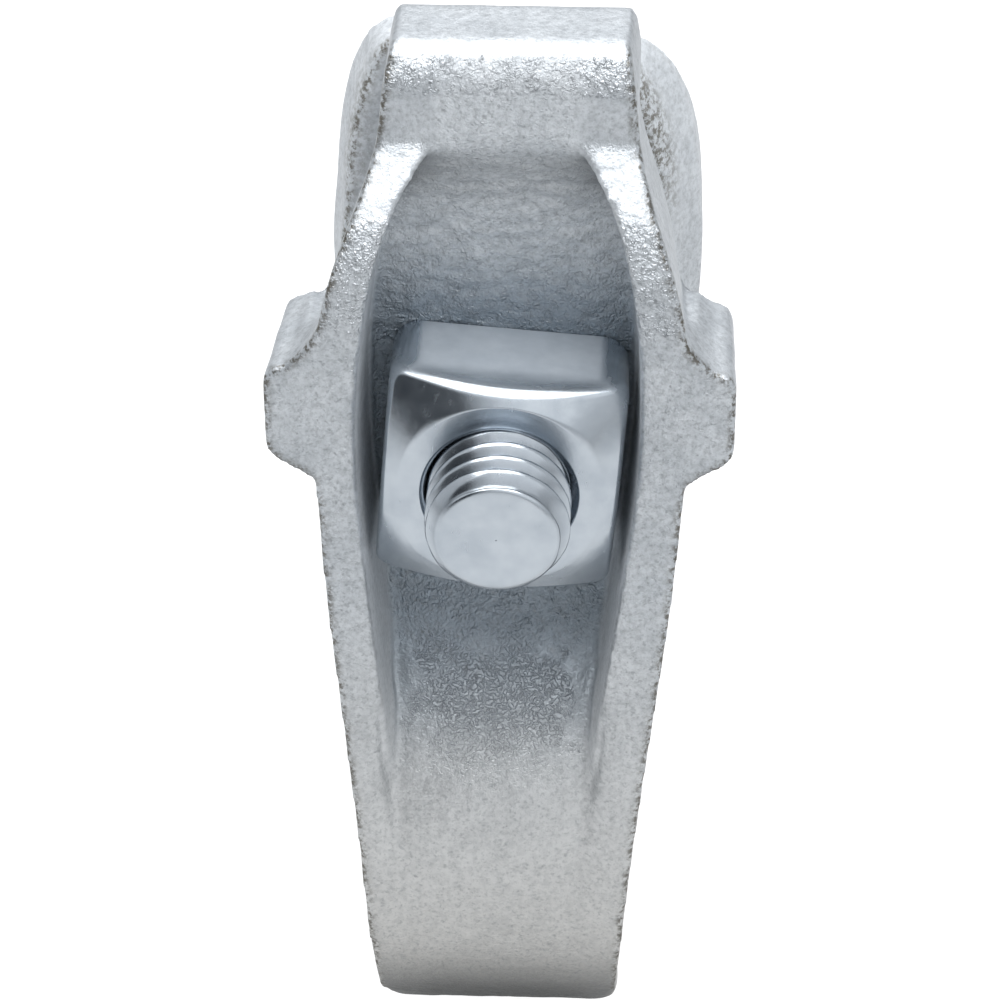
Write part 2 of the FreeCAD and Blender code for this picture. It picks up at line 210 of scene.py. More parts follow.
@dataclass(frozen=True)
class CastFinish(Finish):
    """Sand-cast malleable iron, barrel plated with zinc: pale satin grey, granular, with dark sandy edges.

    Depths and heights are in mm, heights above the conduit's axis.
    """

    pale: str = "#cfd3d7"
    dull: str = "#b6bbc0"
    tail: str = "#cfcdc9"
    # Painted shade: a darker, bluer colour for the channel round the nut.
    recess_shade: str = "#8a949d"
    # Painted shade for skin that turns under, most of all the tail's lower curve.
    shade: str = "#565655"
    pit: str = "#84888b"
    sand: str = "#6b6861"
    groove: str = "#5c646b"
    roughness: float = 0.44
    fine: Pattern = Pattern(0.24, rough=0.6)
    fine_depth: float = 0.034
    grit: Pattern = Pattern(0.17, rough=0.6, seed=83.0)
    grit_depth: float = 0.055
    lump: Pattern = Pattern(0.8, seed=7.0)
    lump_depth: float = 0.10
    crystal_size: float = 0.27
    crystal_warp: float = 0.7
    crystal_rise: Pattern = Pattern(0.7, seed=53.0)
    crystal_depth: float = 0.13
    worm: Pattern = Pattern(0.29, detail=1.5, rough=0.55, seed=97.0)
    worm_half: float = 0.09
    worm_depth: float = 0.055
    cloud: Pattern = Pattern(2.4, detail=3.0, seed=19.0)
    mottle: Pattern = Pattern(0.5, detail=3.0, rough=0.65, seed=61.0)
    speck: Pattern = Pattern(0.34, detail=1.0, seed=31.0)
    sandy: Pattern = Pattern(0.42, detail=3.0, rough=0.7, seed=47.0)
    tail_starts: float = 26.0
    tail_full: float = -8.0

    def crystals(self, g: Graph) -> Socket:
        """Irregular grains that stand out of the skin."""
        place = g.add("TexCoord", out="Object")
        drift_scale = 1 / (1.6 * self.crystal_size * MM)
        drift = g.add("TexNoise", {"Vector": place, "Scale": drift_scale, "Detail": 2.0}, out="Color")
        spread = (self.crystal_warp * MM,) * 3
        place = g.add("VectorMath", {0: drift, 1: spread, 2: place}, operation="MULTIPLY_ADD")
        middle = g.add("TexVoronoi", {"Vector": place, "Scale": 1 / (self.crystal_size * MM)})
        uneven = {VALUE: self.crystal_rise.drawn(g), FROM_MIN: 0.35, FROM_MAX: 0.65}
        rise = g.add("MapRange", {**uneven, TO_MIN: 0.35, TO_MAX: 1.2})
        return g.add("MapRange", {VALUE: middle, FROM_MAX: 0.75, TO_MIN: rise, TO_MAX: 0.0})

    def worms(self, g: Graph) -> Socket:
        """Thin winding lines in the wormy patch, 1 along their middle."""
        centred = g.add("Math", {0: self.worm.drawn(g), 1: 0.5}, operation="SUBTRACT")
        away = g.add("Math", {0: centred}, operation="ABSOLUTE")
        patch = self.mask(g, "wormy")
        return g.add("MapRange", {VALUE: away, FROM_MAX: self.worm_half, TO_MIN: patch, TO_MAX: 0.0})

    def colour(self, g: Graph, fine: Socket) -> Socket:
        """Zinc grey that goes from bluish to neutral, with painted shade in the channel round the nut and where
        the skin turns under, and dark in sandy pits.
        """
        height = g.add("SeparateXYZ", {0: g.add("TexCoord", out="Object")}, out="Z")
        tail = {VALUE: height, FROM_MIN: self.tail_starts * MM, FROM_MAX: self.tail_full * MM}
        cloudy = {VALUE: self.cloud.drawn(g), FROM_MIN: 0.35, FROM_MAX: 0.65, TO_MAX: 0.5}
        mottled = {VALUE: self.mottle.drawn(g), FROM_MIN: 0.42, FROM_MAX: 0.68}
        mottled[TO_MAX] = g.add("MapRange", {**tail, TO_MIN: 0.40, TO_MAX: 0.22})
        specked = {VALUE: self.speck.drawn(g), FROM_MIN: 0.62, FROM_MAX: 0.72}
        specked[TO_MAX] = g.add("MapRange", {VALUE: self.mask(g, "coarse"), TO_MAX: 0.6})
        sandy = {VALUE: self.sandy.drawn(g), FROM_MIN: 0.44, FROM_MAX: 0.58, TO_MAX: self.mask(g, "parting")}
        layers = [
            (cloudy, self.dull),
            ({**tail, TO_MAX: 0.85}, self.tail),
            # Painted shade in the channel round the nut.
            ({VALUE: self.mask(g, "recess_shade"), TO_MAX: 0.95}, self.recess_shade),
            # Painted shade where the skin turns under.
            ({VALUE: self.mask(g, "under"), TO_MAX: 0.9}, self.shade),
            (mottled, self.pit),
            ({VALUE: fine, FROM_MIN: 0.46, FROM_MAX: 0.30, TO_MAX: 0.28}, self.pit),
            (specked, self.pit),
            ({VALUE: self.worms(g), TO_MAX: 0.26}, self.groove),
            (sandy, self.sand),
        ]
        return self.layered(g, self.pale, [(g.add("MapRange", share), code) for share, code in layers])

    def material(self, name: str) -> bpy.types.Material:
        """Zinc over a sand mould's skin: broad sheen that breaks into sparkles on the grains."""
        material, g = new_material(name)
        coarse = self.mask(g, "coarse")
        fine = self.fine.drawn(g)
        patterns = (
            (self.lump.drawn(g), 0.35, 1.0, self.lump_depth),
            (fine, 0.45, 1.3, self.fine_depth),
            (self.grit.drawn(g), 0.25, 1.1, self.grit_depth),
        )
        reliefs = []
        for pattern, on_smooth, on_coarse, depth in patterns:
            share = g.add("MapRange", {VALUE: coarse, TO_MIN: on_smooth, TO_MAX: on_coarse})
            reliefs.append((g.add("MapRange", {VALUE: pattern, TO_MAX: share}), depth))
        crystals = g.add("MapRange", {VALUE: coarse, FROM_MIN: 0.5, TO_MAX: self.crystals(g)})
        reliefs += [(crystals, self.crystal_depth), (self.worms(g), -self.worm_depth)]
        rough = {FROM_MIN: 0.3, FROM_MAX: 0.7, TO_MIN: self.roughness + 0.10, TO_MAX: self.roughness - 0.06}
        g.add("OutputMaterial", {"Surface": g.add("BsdfPrincipled", {
            "Base Color": self.colour(g, fine),
            "Metallic": g.add("MapRange", {VALUE: self.mask(g, "matt"), TO_MIN: 0.9, TO_MAX: 0.0}),
            "Roughness": g.add("MapRange", {VALUE: fine, **rough}),
            "Normal": self.embossed(g, reliefs),
        })})
        return material


@dataclass(frozen=True)
class PlatedFinish(Finish):
    """Cold-headed steel, bright zinc plated: smooth, blue-white, with crisp soft-edged reflections."""

    bright: str = "#c5ccd3"
    shade: str = "#a9b2bb"
    # Painted shade in the thread roots.
    root: str = "#858c93"
    roughness: float = 0.22
    satin_roughness: float = 0.40
    satin_metallic: float = 0.55
    cloud: Pattern = Pattern(1.8, detail=3.0, seed=3.0)
    mark: Pattern = Pattern(0.5, detail=4.0, rough=0.65, seed=11.0, stretch=(1.0, 1.0, 0.25))
    wave: Pattern = Pattern(0.9, seed=5.0)
    wave_depth: float = 0.006
    polish: Pattern = Pattern(0.12, seed=23.0)
    polish_depth: float = 0.0015

    def material(self, name: str) -> bpy.types.Material:
        """Bright zinc on smooth steel: a clear mirror-like sheen with faint clouding and handling marks."""
        material, g = new_material(name)
        satin = self.mask(g, "satin")
        cloudy = {VALUE: self.cloud.drawn(g), FROM_MIN: 0.35, FROM_MAX: 0.7}
        clouded = g.add("MapRange", {**cloudy, TO_MIN: self.roughness - 0.03, TO_MAX: self.roughness + 0.05})
        marked = g.add("MapRange", {VALUE: self.mark.drawn(g), FROM_MIN: 0.58, FROM_MAX: 0.72, TO_MAX: 0.05})
        steel = g.add("Math", {0: clouded, 1: marked}, operation="ADD")
        rough = {0: satin, 1: self.satin_roughness, 2: steel}
        layers = [
            (g.add("MapRange", {**cloudy, TO_MAX: 0.5}), self.shade),
            # Painted shade in the thread roots, from the root mask.
            (g.add("MapRange", {VALUE: self.mask(g, "root"), TO_MAX: 0.8}), self.root),
        ]
        reliefs = [(self.wave.drawn(g), self.wave_depth), (self.polish.drawn(g), self.polish_depth)]
        g.add("OutputMaterial", {"Surface": g.add("BsdfPrincipled", {
            "Base Color": self.layered(g, self.bright, layers),
            "Metallic": g.add("MapRange", {VALUE: satin, TO_MIN: 1.0, TO_MAX: self.satin_metallic}),
            "Roughness": g.add("Math", rough, operation="MULTIPLY_ADD"),
            "Normal": self.embossed(g, reliefs),
        })})
        return material


class Skin:
    """A mesh held as arrays, in millimetres, while its form is worked on."""

    def __init__(self, mesh: bpy.types.Mesh) -> None:
        self.mesh = mesh
        count = len(mesh.vertices)
        flat = np.empty(count * 3)
        mesh.vertices.foreach_get("co", flat)
        self.points = flat.reshape(-1, 3) / MM
        ends = np.empty(len(mesh.edges) * 2, dtype=np.int64)
        mesh.edges.foreach_get("vertices", ends)
        self.ends = ends.reshape(-1, 2)
        self.valence = np.maximum(np.bincount(self.ends.ravel(), minlength=count), 1)

    def neighbour_mean(self, values: Array) -> Array:
        """The mean of each point's neighbours."""
        count = len(self.points)
        grid = values.reshape(count, -1)
        a, b = self.ends[:, 0], self.ends[:, 1]
        total = [
            np.bincount(a, grid[b, k], count) + np.bincount(b, grid[a, k], count)
            for k in range(grid.shape[1])
        ]
        return (np.stack(total, -1) / self.valence[:, None]).reshape(values.shape)

    def blur(self, values: Array, rounds: int, amount=0.5) -> Array:
        """Spreads values over the surface, by the same amount everywhere or by one for each point."""
        for _ in range(rounds):
            values = values + amount * (self.neighbour_mean(values) - values)
        return values

    def ease(self, rounds: int, where: Array | None = None) -> None:
        """Rounds the edges off, everywhere or where a mask is 1."""
        amount = 0.5 if where is None else 0.5 * where[:, None]
        self.points = self.blur(self.points, rounds, amount)
        self.store()

    def store(self) -> None:
        """Writes the points back to the mesh."""
        self.mesh.vertices.foreach_set("co", (self.points * MM).ravel())
        self.mesh.update()

    def normals(self) -> Array:
        """Unit normals at the points."""
        flat = np.empty(len(self.points) * 3)
        self.mesh.vertex_normals.foreach_get("vector", flat)
        return flat.reshape(-1, 3)

    def convexity(self, rounds: int = 2) -> Array:
        """How far each point stands out of its neighbours, in mm, above zero on outer edges."""
        pull = self.blur(self.points, 3) - self.points
        return self.blur(-(pull * self.normals()).sum(-1), rounds)

    def push(self, height: Array) -> None:
        """Moves the points along their normals by a height in mm."""
        self.points = self.points + self.normals() * height[:, None]
        self.store()

    def paint(self, name: str, values: Array) -> None:
        """Stores a value on the points for the material to read."""
        layer = self.mesh.attributes.new(name, "FLOAT", "POINT")
        layer.data.foreach_set("value", np.clip(values, 0.0, 1.0).astype(np.float32))


def lumps(points: Array, size: float, seed: float, squash=(1.0, 1.0, 1.0)) -> Array:
    """Seeded noise of about -1 to 1 at points in mm, with lumps about size mm across."""
    scaled = points * np.asarray(squash) / size + seed
    return np.array([noise.noise(Vector(p)) for p in scaled])


@dataclass
class Casting:
    """A sand-cast piece that takes the place of its solid.

    Sizes are in mm. The relief's two heights are the one on all sides and what the front adds to it.
    A facing is how far the skin looks one way, from 0 for square to it to 1 for straight along it.
    """

    node: str
    body: str
    name: str
    finish: CastFinish
    voxel: float = 0.28
    ease_rounds: int = 3
    broad_size: float = 2.2
    broad_height: tuple[float, float] = (0.02, 0.04)
    fine_size: float = 0.9
    fine_height: tuple[float, float] = (0.01, 0.025)
    front_facing: Band = Band(0.2, 0.7)
    coarse_facing: Band = Band(0.3, 0.8)
    down_facing: Band = Band(0.55, 0.95)
    parting_edge: Band = Band(0.012, 0.04)
    parting_outward: Band = Band(0.1, 0.45)
    parting_forward: Band = Band(0.05, 0.35)
    parting_gain: float = 2.2

    def relief(self, skin: Skin) -> Array:
        """Height in mm that the mould adds at each point."""
        facing = self.front_facing.share(-skin.normals()[:, 1])
        broad, fine = (low + added * facing for low, added in (self.broad_height, self.fine_height))
        broad = broad * lumps(skin.points, self.broad_size, 3.1)
        return broad + fine * lumps(skin.points, self.fine_size, 8.7)

    def soften(self, skin: Skin) -> None:
        """Rounds further the edges that are rounder than the rest."""

    def coarse(self, skin: Skin) -> Array:
        """How coarse the skin is, from 0 on drafted sides to 1 where the sand was loose."""
        return 0.12 + 0.45 * self.coarse_facing.share(-skin.normals()[:, 1])

    def recess_shade(self, skin: Skin) -> Array:
        """Painted shade, deep between walls."""
        return np.zeros(len(skin.points))

    def side_edges(self, skin: Skin) -> Array:
        """Where the mould's parting line also runs along upper and lower edges."""
        return np.zeros(len(skin.points))

    def sandy(self, skin: Skin) -> Array:
        """Faces that are sandy as a whole."""
        return np.zeros(len(skin.points))

    def matt(self, skin: Skin) -> Array:
        """Where the zinc has little sheen."""
        return np.zeros(len(skin.points))

    def wormy(self, skin: Skin) -> Array:
        """Where the sand left a wormy crust."""
        return np.zeros(len(skin.points))

    def under(self, skin: Skin) -> Array:
        """Painted shade where the skin turns under, strongest where it faces most steeply down."""
        return 0.5 * self.down_facing.share(-skin.normals()[:, 2])

    def parting(self, skin: Skin) -> Array:
        """The mould's parting line along the outer edges, still sharp."""
        edge = self.parting_edge.share(skin.convexity())
        normals = skin.normals()
        outward = self.parting_outward.share(normals[:, 0] * np.sign(skin.points[:, 0]))
        upright = self.parting_outward.share(np.abs(normals[:, 2])) * self.side_edges(skin)
        forward = self.parting_forward.share(-normals[:, 1])
        return self.parting_gain * skin.blur(edge * np.maximum(outward, upright) * forward, 3)

    def remeshed(self, source: bpy.types.Object) -> bpy.types.Mesh:
        """A fine, even mesh of the solid's form. The solid is only copied."""
        rough = bpy.data.objects.new(self.name + "_rough", source.data.copy())
        bpy.context.scene.collection.objects.link(rough)
        remesh = rough.modifiers.new("Remesh", "REMESH")
        remesh.mode = "VOXEL"
        remesh.voxel_size = self.voxel * MM
        seen = rough.evaluated_get(bpy.context.evaluated_depsgraph_get())
        mesh = bpy.data.meshes.new_from_object(seen)
        mesh.name = self.name
        mesh.materials.clear()
        bpy.data.objects.remove(rough)
        return mesh

    def build(self, source: bpy.types.Object) -> bpy.types.Object:
        """Makes the dressed casting.

        Args:
            source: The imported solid's object.

        Returns:
            The new piece.
        """
        mesh = self.remeshed(source)
        skin = Skin(mesh)
        skin.ease(self.ease_rounds)
        parting = self.parting(skin)
        self.soften(skin)
        masks = {
            "parting": np.maximum(parting, self.sandy(skin)),
            # Painted shade in the channel round the nut.
            "recess_shade": self.recess_shade(skin),
            "wormy": self.wormy(skin),
            # Painted shade where the skin turns under.
            "under": skin.blur(self.under(skin), 4),
            "matt": self.matt(skin),
            "coarse": np.maximum(self.coarse(skin), 0.45 * np.clip(parting, 0, 1)),
        }
        skin.push(self.relief(skin))
        for name, values in masks.items():
            skin.paint(name, values)
        mesh.materials.append(self.finish.material(self.name + "_zinc_plated_cast_iron"))
        mesh.polygons.foreach_set("use_smooth", np.ones(len(mesh.polygons), dtype=bool))
        piece = bpy.data.objects.new(self.name, mesh)
        bpy.context.scene.collection.objects.link(piece)
        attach(piece, self.body)
        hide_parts(self.node)
        LOG.info("%s has %d faces", self.name, len(mesh.polygons))
        return piece


@dataclass
class HookCasting(Casting):
    """The rear hook, whose pad has a squared left corner and a sandy patch on its front. Sizes in mm."""

    pad_heights: Band = Band(38.0, 44.0)
    left_half: Band = Band(-4.0, -8.0)
    flank_heights: Band = Band(40.0, 46.0, 52.0, 57.0)
    flank_draw: float = 0.32
    corner_heights: Band = Band(54.8, 57.4)
    corner_draw: float = 0.42
    right_half: Band = Band(4.0, 8.0)
    shoulder_heights: Band = Band(48.0, 53.0)
    shoulder_draw: float = 0.08
    sandy_depths: Band = Band(-2.3, -3.9)
    sandy_heights: Band = Band(41.0, 51.0)
    sandy_right: Band = Band(-2.0, 6.0)
    sandy_left: Band = Band(-8.5, -10.5)

    def soften(self, skin: Skin) -> None:
        """Draws the pad's left flank in, squares its upper left corner and eases the whole once more."""
        across, height = skin.points[:, 0], skin.points[:, 2]
        flank = self.flank_draw * self.flank_heights.share(height)
        corner = self.corner_draw * self.corner_heights.share(height)
        right = self.shoulder_draw * self.right_half.share(across) * self.shoulder_heights.share(height)
        skin.points[:, 0] += self.left_half.share(across) * (flank - corner) - right
        skin.ease(4)

    def side_edges(self, skin: Skin) -> Array:
        """All round the pad."""
        return self.pad_heights.share(skin.points[:, 2])

    def matt(self, skin: Skin) -> Array:
        """The pad, which stands in the open and was rubbed dull."""
        return 0.95 * self.side_edges(skin)

    def sandy(self, skin: Skin) -> Array:
        """A ragged patch on the right of the pad's front and a fainter one on its left."""
        across, depth, height = skin.points.T
        ragged = 3.5 * lumps(skin.points, 4.5, 45.1) + 2.0 * lumps(skin.points, 1.6, 51.9)
        sides = np.maximum(0.95 * self.sandy_right.share(across), 0.50 * self.sandy_left.share(across))
        return self.sandy_depths.share(depth) * self.sandy_heights.share(height + ragged) * sides


@dataclass
class JawCasting(Casting):
    """The front jaw, with ripples above the nut, a wormy patch below it and a crowned lower floor.

    Heights are in mm above the bolt's axis, depths in mm behind the ribs' front, places out from the
    middle in mm, and places across the channel are shares of its half width.
    """

    rib_plane: float = -22.5
    channel_middle: float = -0.2
    channel_lean: float = 0.022
    channel_heights: tuple[float, ...] = (-31.0, -10.0, 0.0, 14.0, 21.0, 23.2)
    channel_halves: tuple[float, ...] = (6.6, 8.25, 9.15, 8.6, 6.5, 4.6)
    floor_facing: Band = Band(0.3, 0.8)
    floor_across: Band = Band(1.03, 0.95)

    ear_heights: Band = Band(6.0, 8.0, 15.0, 18.0)
    ear_depths: Band = Band(2.0, 6.0)
    ear_top_facing: Band = Band(0.2, 0.6)
    ear_root: Band = Band(9.8, 10.8, 11.6, 12.9)
    ear_root_drop: float = 0.75
    ear_end: Band = Band(11.8, 13.0)
    ear_end_rise: float = 0.28
    tail_heights: Band = Band(-8.0, -20.0)
    tail_draw: float = 0.10
    foot_heights: Band = Band(-38.0, -48.0)
    foot_draw: float = 0.20
    foot_rise_heights: Band = Band(-44.0, -50.0)
    foot_rise: float = 0.20
    foot_half: float = 9.0
    foot_round_heights: Band = Band(-46.0, -49.5)
    run_out_heights: Band = Band(-16.0, -25.0, -38.0, -42.0)
    run_out_depths: Band = Band(5.0, 3.0)
    run_out_across: Band = Band(1.25, 1.05)
    head_heights: Band = Band(18.0, 20.5, 25.0, 26.5)
    head_depths: Band = Band(3.8, 4.6)
    head_across: Band = Band(1.0, 0.8)

    ripple_heights: Band = Band(6.0, 9.0, 19.0, 24.0)
    ripple_height: float = 0.12
    crown_heights: Band = Band(-11.0, -26.0, -27.0, -37.0)
    crown_across: Band = Band(0.95, 0.20)
    crown_height: float = 0.5
    groove_heights: Band = Band(-14.0, -23.0, -24.0, -36.0)
    groove_place: float = 0.93
    groove_width: float = 0.10
    groove_depth: float = 0.5

    tip_face_heights: Band = Band(19.5, 22.0)
    tip_face_depths: Band = Band(4.8, 4.2)
    tip_grain_heights: Band = Band(26.0, 27.2, 28.9, 29.5)
    slope_heights: Band = Band(10.0, 13.0, 18.5, 21.5)
    slope_depths: Band = Band(3.6, 2.4)
    slope_facing: Band = Band(0.15, 0.4)
    rib_facing: Band = Band(0.8, 0.95)
    rib_depths: Band = Band(1.0, 0.4)
    rib_heights: Band = Band(-30.0, -20.0)
    coarse_floor_heights: Band = Band(-22.0, -14.0)
    # Where the channel's painted shade lies.
    channel_shade_heights: Band = Band(18.0, 6.5, -14.0, -27.0)
    channel_shade_depths: Band = Band(0.4, 3.5)
    channel_shade_across: Band = Band(1.08, 1.0)
    side_out: Band = Band(11.2, 12.2)
    side_heights: Band = Band(18.0, 15.0)
    worm_heights: Band = Band(-14.5, -19.0, -21.5, -26.0)
    worm_across: Band = Band(0.90, 0.45)
    # Where the painted shade under the tail lies.
    under_facing: Band = Band(0.18, 0.68)
    under_forward: Band = Band(0.0, 0.3)
    wall_facing: Band = Band(0.5, 0.8)
    wall_depths: Band = Band(0.0, 0.6)
    wall_across: Band = Band(1.25, 1.1)
    matt_floor_heights: Band = Band(9.0, 15.0)
    matt_ear_facing: Band = Band(0.6, 0.9)
    matt_ear_out: Band = Band(10.8, 12.0)

    def lever(self, skin: Skin) -> tuple[Array, Array]:
        """Height above the bolt's axis and depth behind the ribs."""
        return skin.points[:, 2] - BOLT_HEIGHT, skin.points[:, 1] - self.rib_plane

    def across(self, skin: Skin, above: Array) -> Array:
        """Distance from the channel's middle as a share of its half width."""
        half = np.interp(above, self.channel_heights, self.channel_halves)
        return np.abs(skin.points[:, 0] - self.channel_middle - self.channel_lean * above) / half

    def soften(self, skin: Skin) -> None:
        """Shapes the ears' tops at the back, narrows the foot and eases both ends of the channel."""
        above, behind = self.lever(skin)
        out = np.abs(skin.points[:, 0])
        ear_top = self.ear_top_facing.share(skin.normals()[:, 2]) * self.ear_depths.share(behind)
        ear_top = ear_top * self.ear_heights.share(above)
        rise = self.ear_end_rise * self.ear_end.share(out) - self.ear_root_drop * self.ear_root.share(out)
        skin.points[:, 2] += ear_top * rise + self.foot_rise * self.foot_rise_heights.share(above)
        draw = self.tail_draw * self.tail_heights.share(above)
        draw = draw + self.foot_draw * self.foot_heights.share(above)
        skin.points[:, 0] -= draw * np.clip(skin.points[:, 0] / self.foot_half, -1.0, 1.0)
        skin.ease(55, self.foot_round_heights.share(above))
        across = self.across(skin, above)
        run_out = self.run_out_heights.share(above) * self.run_out_depths.share(behind)
        skin.ease(80, run_out * self.run_out_across.share(across))
        head = self.head_heights.share(above) * self.head_depths.share(behind)
        skin.ease(150, head * self.head_across.share(across))

    def floor_mask(self, skin: Skin) -> Array:
        """The channel's floor."""
        above, _ = self.lever(skin)
        facing = self.floor_facing.share(-skin.normals()[:, 1])
        return facing * self.floor_across.share(self.across(skin, above))

    def relief(self, skin: Skin) -> Array:
        """The mould's grain, with ripples above the nut, and a crown between two grooves below it."""
        points = skin.points
        above, _ = self.lever(skin)
        across = self.across(skin, above)
        floor = self.floor_mask(skin)
        ripples = lumps(points, 1.2, 21.3, (0.6, 1.0, 1.4))
        ripples = ripples + 0.9 * lumps(points, 0.65, 27.1, (0.75, 1.0, 1.3))
        ripples = self.ripple_height * floor * self.ripple_heights.share(above) * ripples
        crown = self.crown_height * floor * self.crown_across.share(across) * self.crown_heights.share(above)
        groove = np.exp(-((across - self.groove_place) / self.groove_width) ** 2)
        groove = groove * self.groove_heights.share(above) * self.floor_facing.share(-skin.normals()[:, 1])
        return super().relief(skin) + ripples + crown - self.groove_depth * groove

    def coarse(self, skin: Skin) -> Array:
        """Coarse on the floor and the ribs, coarsest on the tip's edge and the slope below the tip."""
        above, behind = self.lever(skin)
        facing = -skin.normals()[:, 1]
        tip_face = self.tip_face_heights.share(above) * self.tip_face_depths.share(behind)
        floor = self.floor_mask(skin) * self.coarse_floor_heights.share(above)
        ribs = self.rib_facing.share(facing) * self.rib_depths.share(behind) * self.rib_heights.share(above)
        slope = self.slope_heights.share(above) * self.slope_depths.share(behind)
        loose = np.maximum(self.tip_grain_heights.share(above), slope) * self.slope_facing.share(facing)
        rough = super().coarse(skin) * (1 - 0.6 * tip_face)
        return np.maximum.reduce([rough, 0.75 * floor, 0.70 * ribs, loose])

    def recess_shade(self, skin: Skin) -> Array:
        """Painted shade in the channel round the nut, on its floor more than on its walls."""
        above, behind = self.lever(skin)
        inside = self.channel_shade_across.share(self.across(skin, above)) * self.channel_shade_depths.share(behind)
        facing = self.front_facing.share(-skin.normals()[:, 1])
        return skin.blur(inside * self.channel_shade_heights.share(above) * (0.15 + 0.85 * facing), 4)

    def side_edges(self, skin: Skin) -> Array:
        """Round the ears' ends."""
        above, _ = self.lever(skin)
        return self.side_out.share(np.abs(skin.points[:, 0])) * self.side_heights.share(np.abs(above))

    def wormy(self, skin: Skin) -> Array:
        """A ragged patch in the middle of the floor below the nut."""
        above, _ = self.lever(skin)
        ragged = 0.5 * lumps(skin.points, 2.6, 33.7) + 0.35 * lumps(skin.points, 1.1, 39.1)
        patch = self.worm_across.share(self.across(skin, above) + ragged)
        return self.floor_mask(skin) * patch * self.worm_heights.share(above + 3 * ragged)

    def under(self, skin: Skin) -> Array:
        """Painted shade on fronts that turn under, and so most of all on the tail's lower curve."""
        normals = skin.normals()
        return self.under_facing.share(-normals[:, 2]) * self.under_forward.share(-normals[:, 1])

    def matt(self, skin: Skin) -> Array:
        """The channel's walls, the floor under the tip and, faintly, the ears' tops."""
        above, behind = self.lever(skin)
        normals = skin.normals()
        walls = self.wall_facing.share(np.abs(normals[:, 0])) * self.wall_depths.share(behind)
        walls = walls * self.wall_across.share(self.across(skin, above))
        upper_floor = self.floor_mask(skin) * self.matt_floor_heights.share(above)
        ear_tops = self.matt_ear_out.share(np.abs(skin.points[:, 0]))
        ear_tops = ear_tops * self.matt_ear_facing.share(normals[:, 2])
        return np.maximum.reduce([walls, 0.7 * upper_floor, 0.18 * ear_tops])


def revolved_grid(rings: Array, name: str) -> bpy.types.Mesh:
    """A closed-round quad mesh from rings of points.

    Args:
        rings: Array of ring, point and x, y, z in mm. Rings follow each other along the surface.
        name: Name of the mesh.

    Returns:
        A mesh whose faces join each ring to the next.
    """
    count, around, _ = rings.shape
    index = np.arange(count * around).reshape(count, around)
    a = index[:-1]
    b = index[1:]
    faces = np.stack([a, np.roll(a, -1, 1), np.roll(b, -1, 1), b], -1).reshape(-1, 4)
    mesh = bpy.data.meshes.new(name)
    mesh.from_pydata((rings.reshape(-1, 3) * MM).tolist(), [], faces.tolist())
    mesh.polygons.foreach_set("use_smooth", np.ones(len(mesh.polygons), dtype=bool))
    mesh.update()
    return mesh


@dataclass(frozen=True)
class Thread:
    """A right-hand unified thread on the bolt's axis."""

    major_radius: float = 4.7625
    pitch: float = 1.5875
    depth: float = 0.92
    start: float = -23.4

    def radius(self, y: Array, turn: Array) -> Array:
        """Radius of the thread at a depth y and an angle, with rounded crests and roots."""
        phase = (y - self.start) / self.pitch - turn / (2 * math.pi)
        wave = np.abs((phase % 1.0) * 2 - 1)
        flank = smoothstep(0.06, 0.90, wave) * 0.25 + np.clip((wave - 0.06) / 0.82, 0, 1) * 0.75
        return self.major_radius - self.depth * (1 - flank)


class Profile:
    """Rings about the bolt's axis, laid one after another along a surface."""

    def __init__(self, steps_round: int) -> None:
        self.turn = np.linspace(0, 2 * math.pi, steps_round, endpoint=False)
        self.rows: list[Array] = []

    def ring(self, y: float | Array, radius: float | Array, root: float | Array = 0.0) -> None:
        """Adds a ring. Each value is one for the whole ring, or one for each angle.

        Args:
            y: Place along the bolt in mm.
            radius: Distance from the axis in mm.
            root: Painted shade in a thread's root, up to 1.
        """
        self.rows.append(np.stack(np.broadcast_arrays(y, radius, root, self.turn)))

    def points(self) -> tuple[Array, Array]:
        """Points of all rings, and the painted shade in a thread's root at each."""
        y, radius, root, turn = np.stack(self.rows, 1)
        return np.stack([radius * np.sin(turn), y, BOLT_HEIGHT + radius * np.cos(turn)], -1), root


def square_radius(half: float, corner: float, turn: Array) -> Array:
    """Distance from the middle to the side of a square with rounded corners, at an angle."""
    folded = (turn + math.pi / 4) % (math.pi / 2) - math.pi / 4
    flat = half / np.cos(folded)
    side = np.abs(folded)
    centre = half - corner
    reach = centre * math.sqrt(2)
    off = math.pi / 4 - side
    inside = np.maximum(corner ** 2 - (reach * np.sin(off)) ** 2, 0.0)
    rounded = reach * np.cos(off) + np.sqrt(inside)
    return np.where(half * np.tan(side) > centre, rounded, flat)


@dataclass
class Fastener:
    """A turned and threaded piece on the bolt's axis that takes the place of its solid. Sizes in mm."""

    node: str
    body: str
    name: str
    finish: PlatedFinish
    steps_round: int = 256

    def profile(self) -> Profile:
        """The rings of the piece."""
        raise NotImplementedError

    def satin(self, points: Array) -> Array:
        """Where the steel is satin and not bright."""
        return np.zeros(points.shape[:2])

    def build(self) -> bpy.types.Object:
        """Makes the piece and lets it ride on its body."""
        points, roots = self.profile().points()
        mesh = revolved_grid(points, self.name)
        # root carries the painted shade in the thread roots.
        for label, values in (("root", roots), ("satin", self.satin(points))):
            layer = mesh.attributes.new(label, "FLOAT", "POINT")
            layer.data.foreach_set("value", np.clip(values, 0, 1).astype(np.float32).ravel())
        mesh.materials.append(self.finish.material(self.name + "_bright_zinc_steel"))
        piece = bpy.data.objects.new(self.name, mesh)
        bpy.context.scene.collection.objects.link(piece)
        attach(piece, self.body)
        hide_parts(self.node)
        LOG.info("%s has %d faces", self.name, len(mesh.polygons))
        return piece


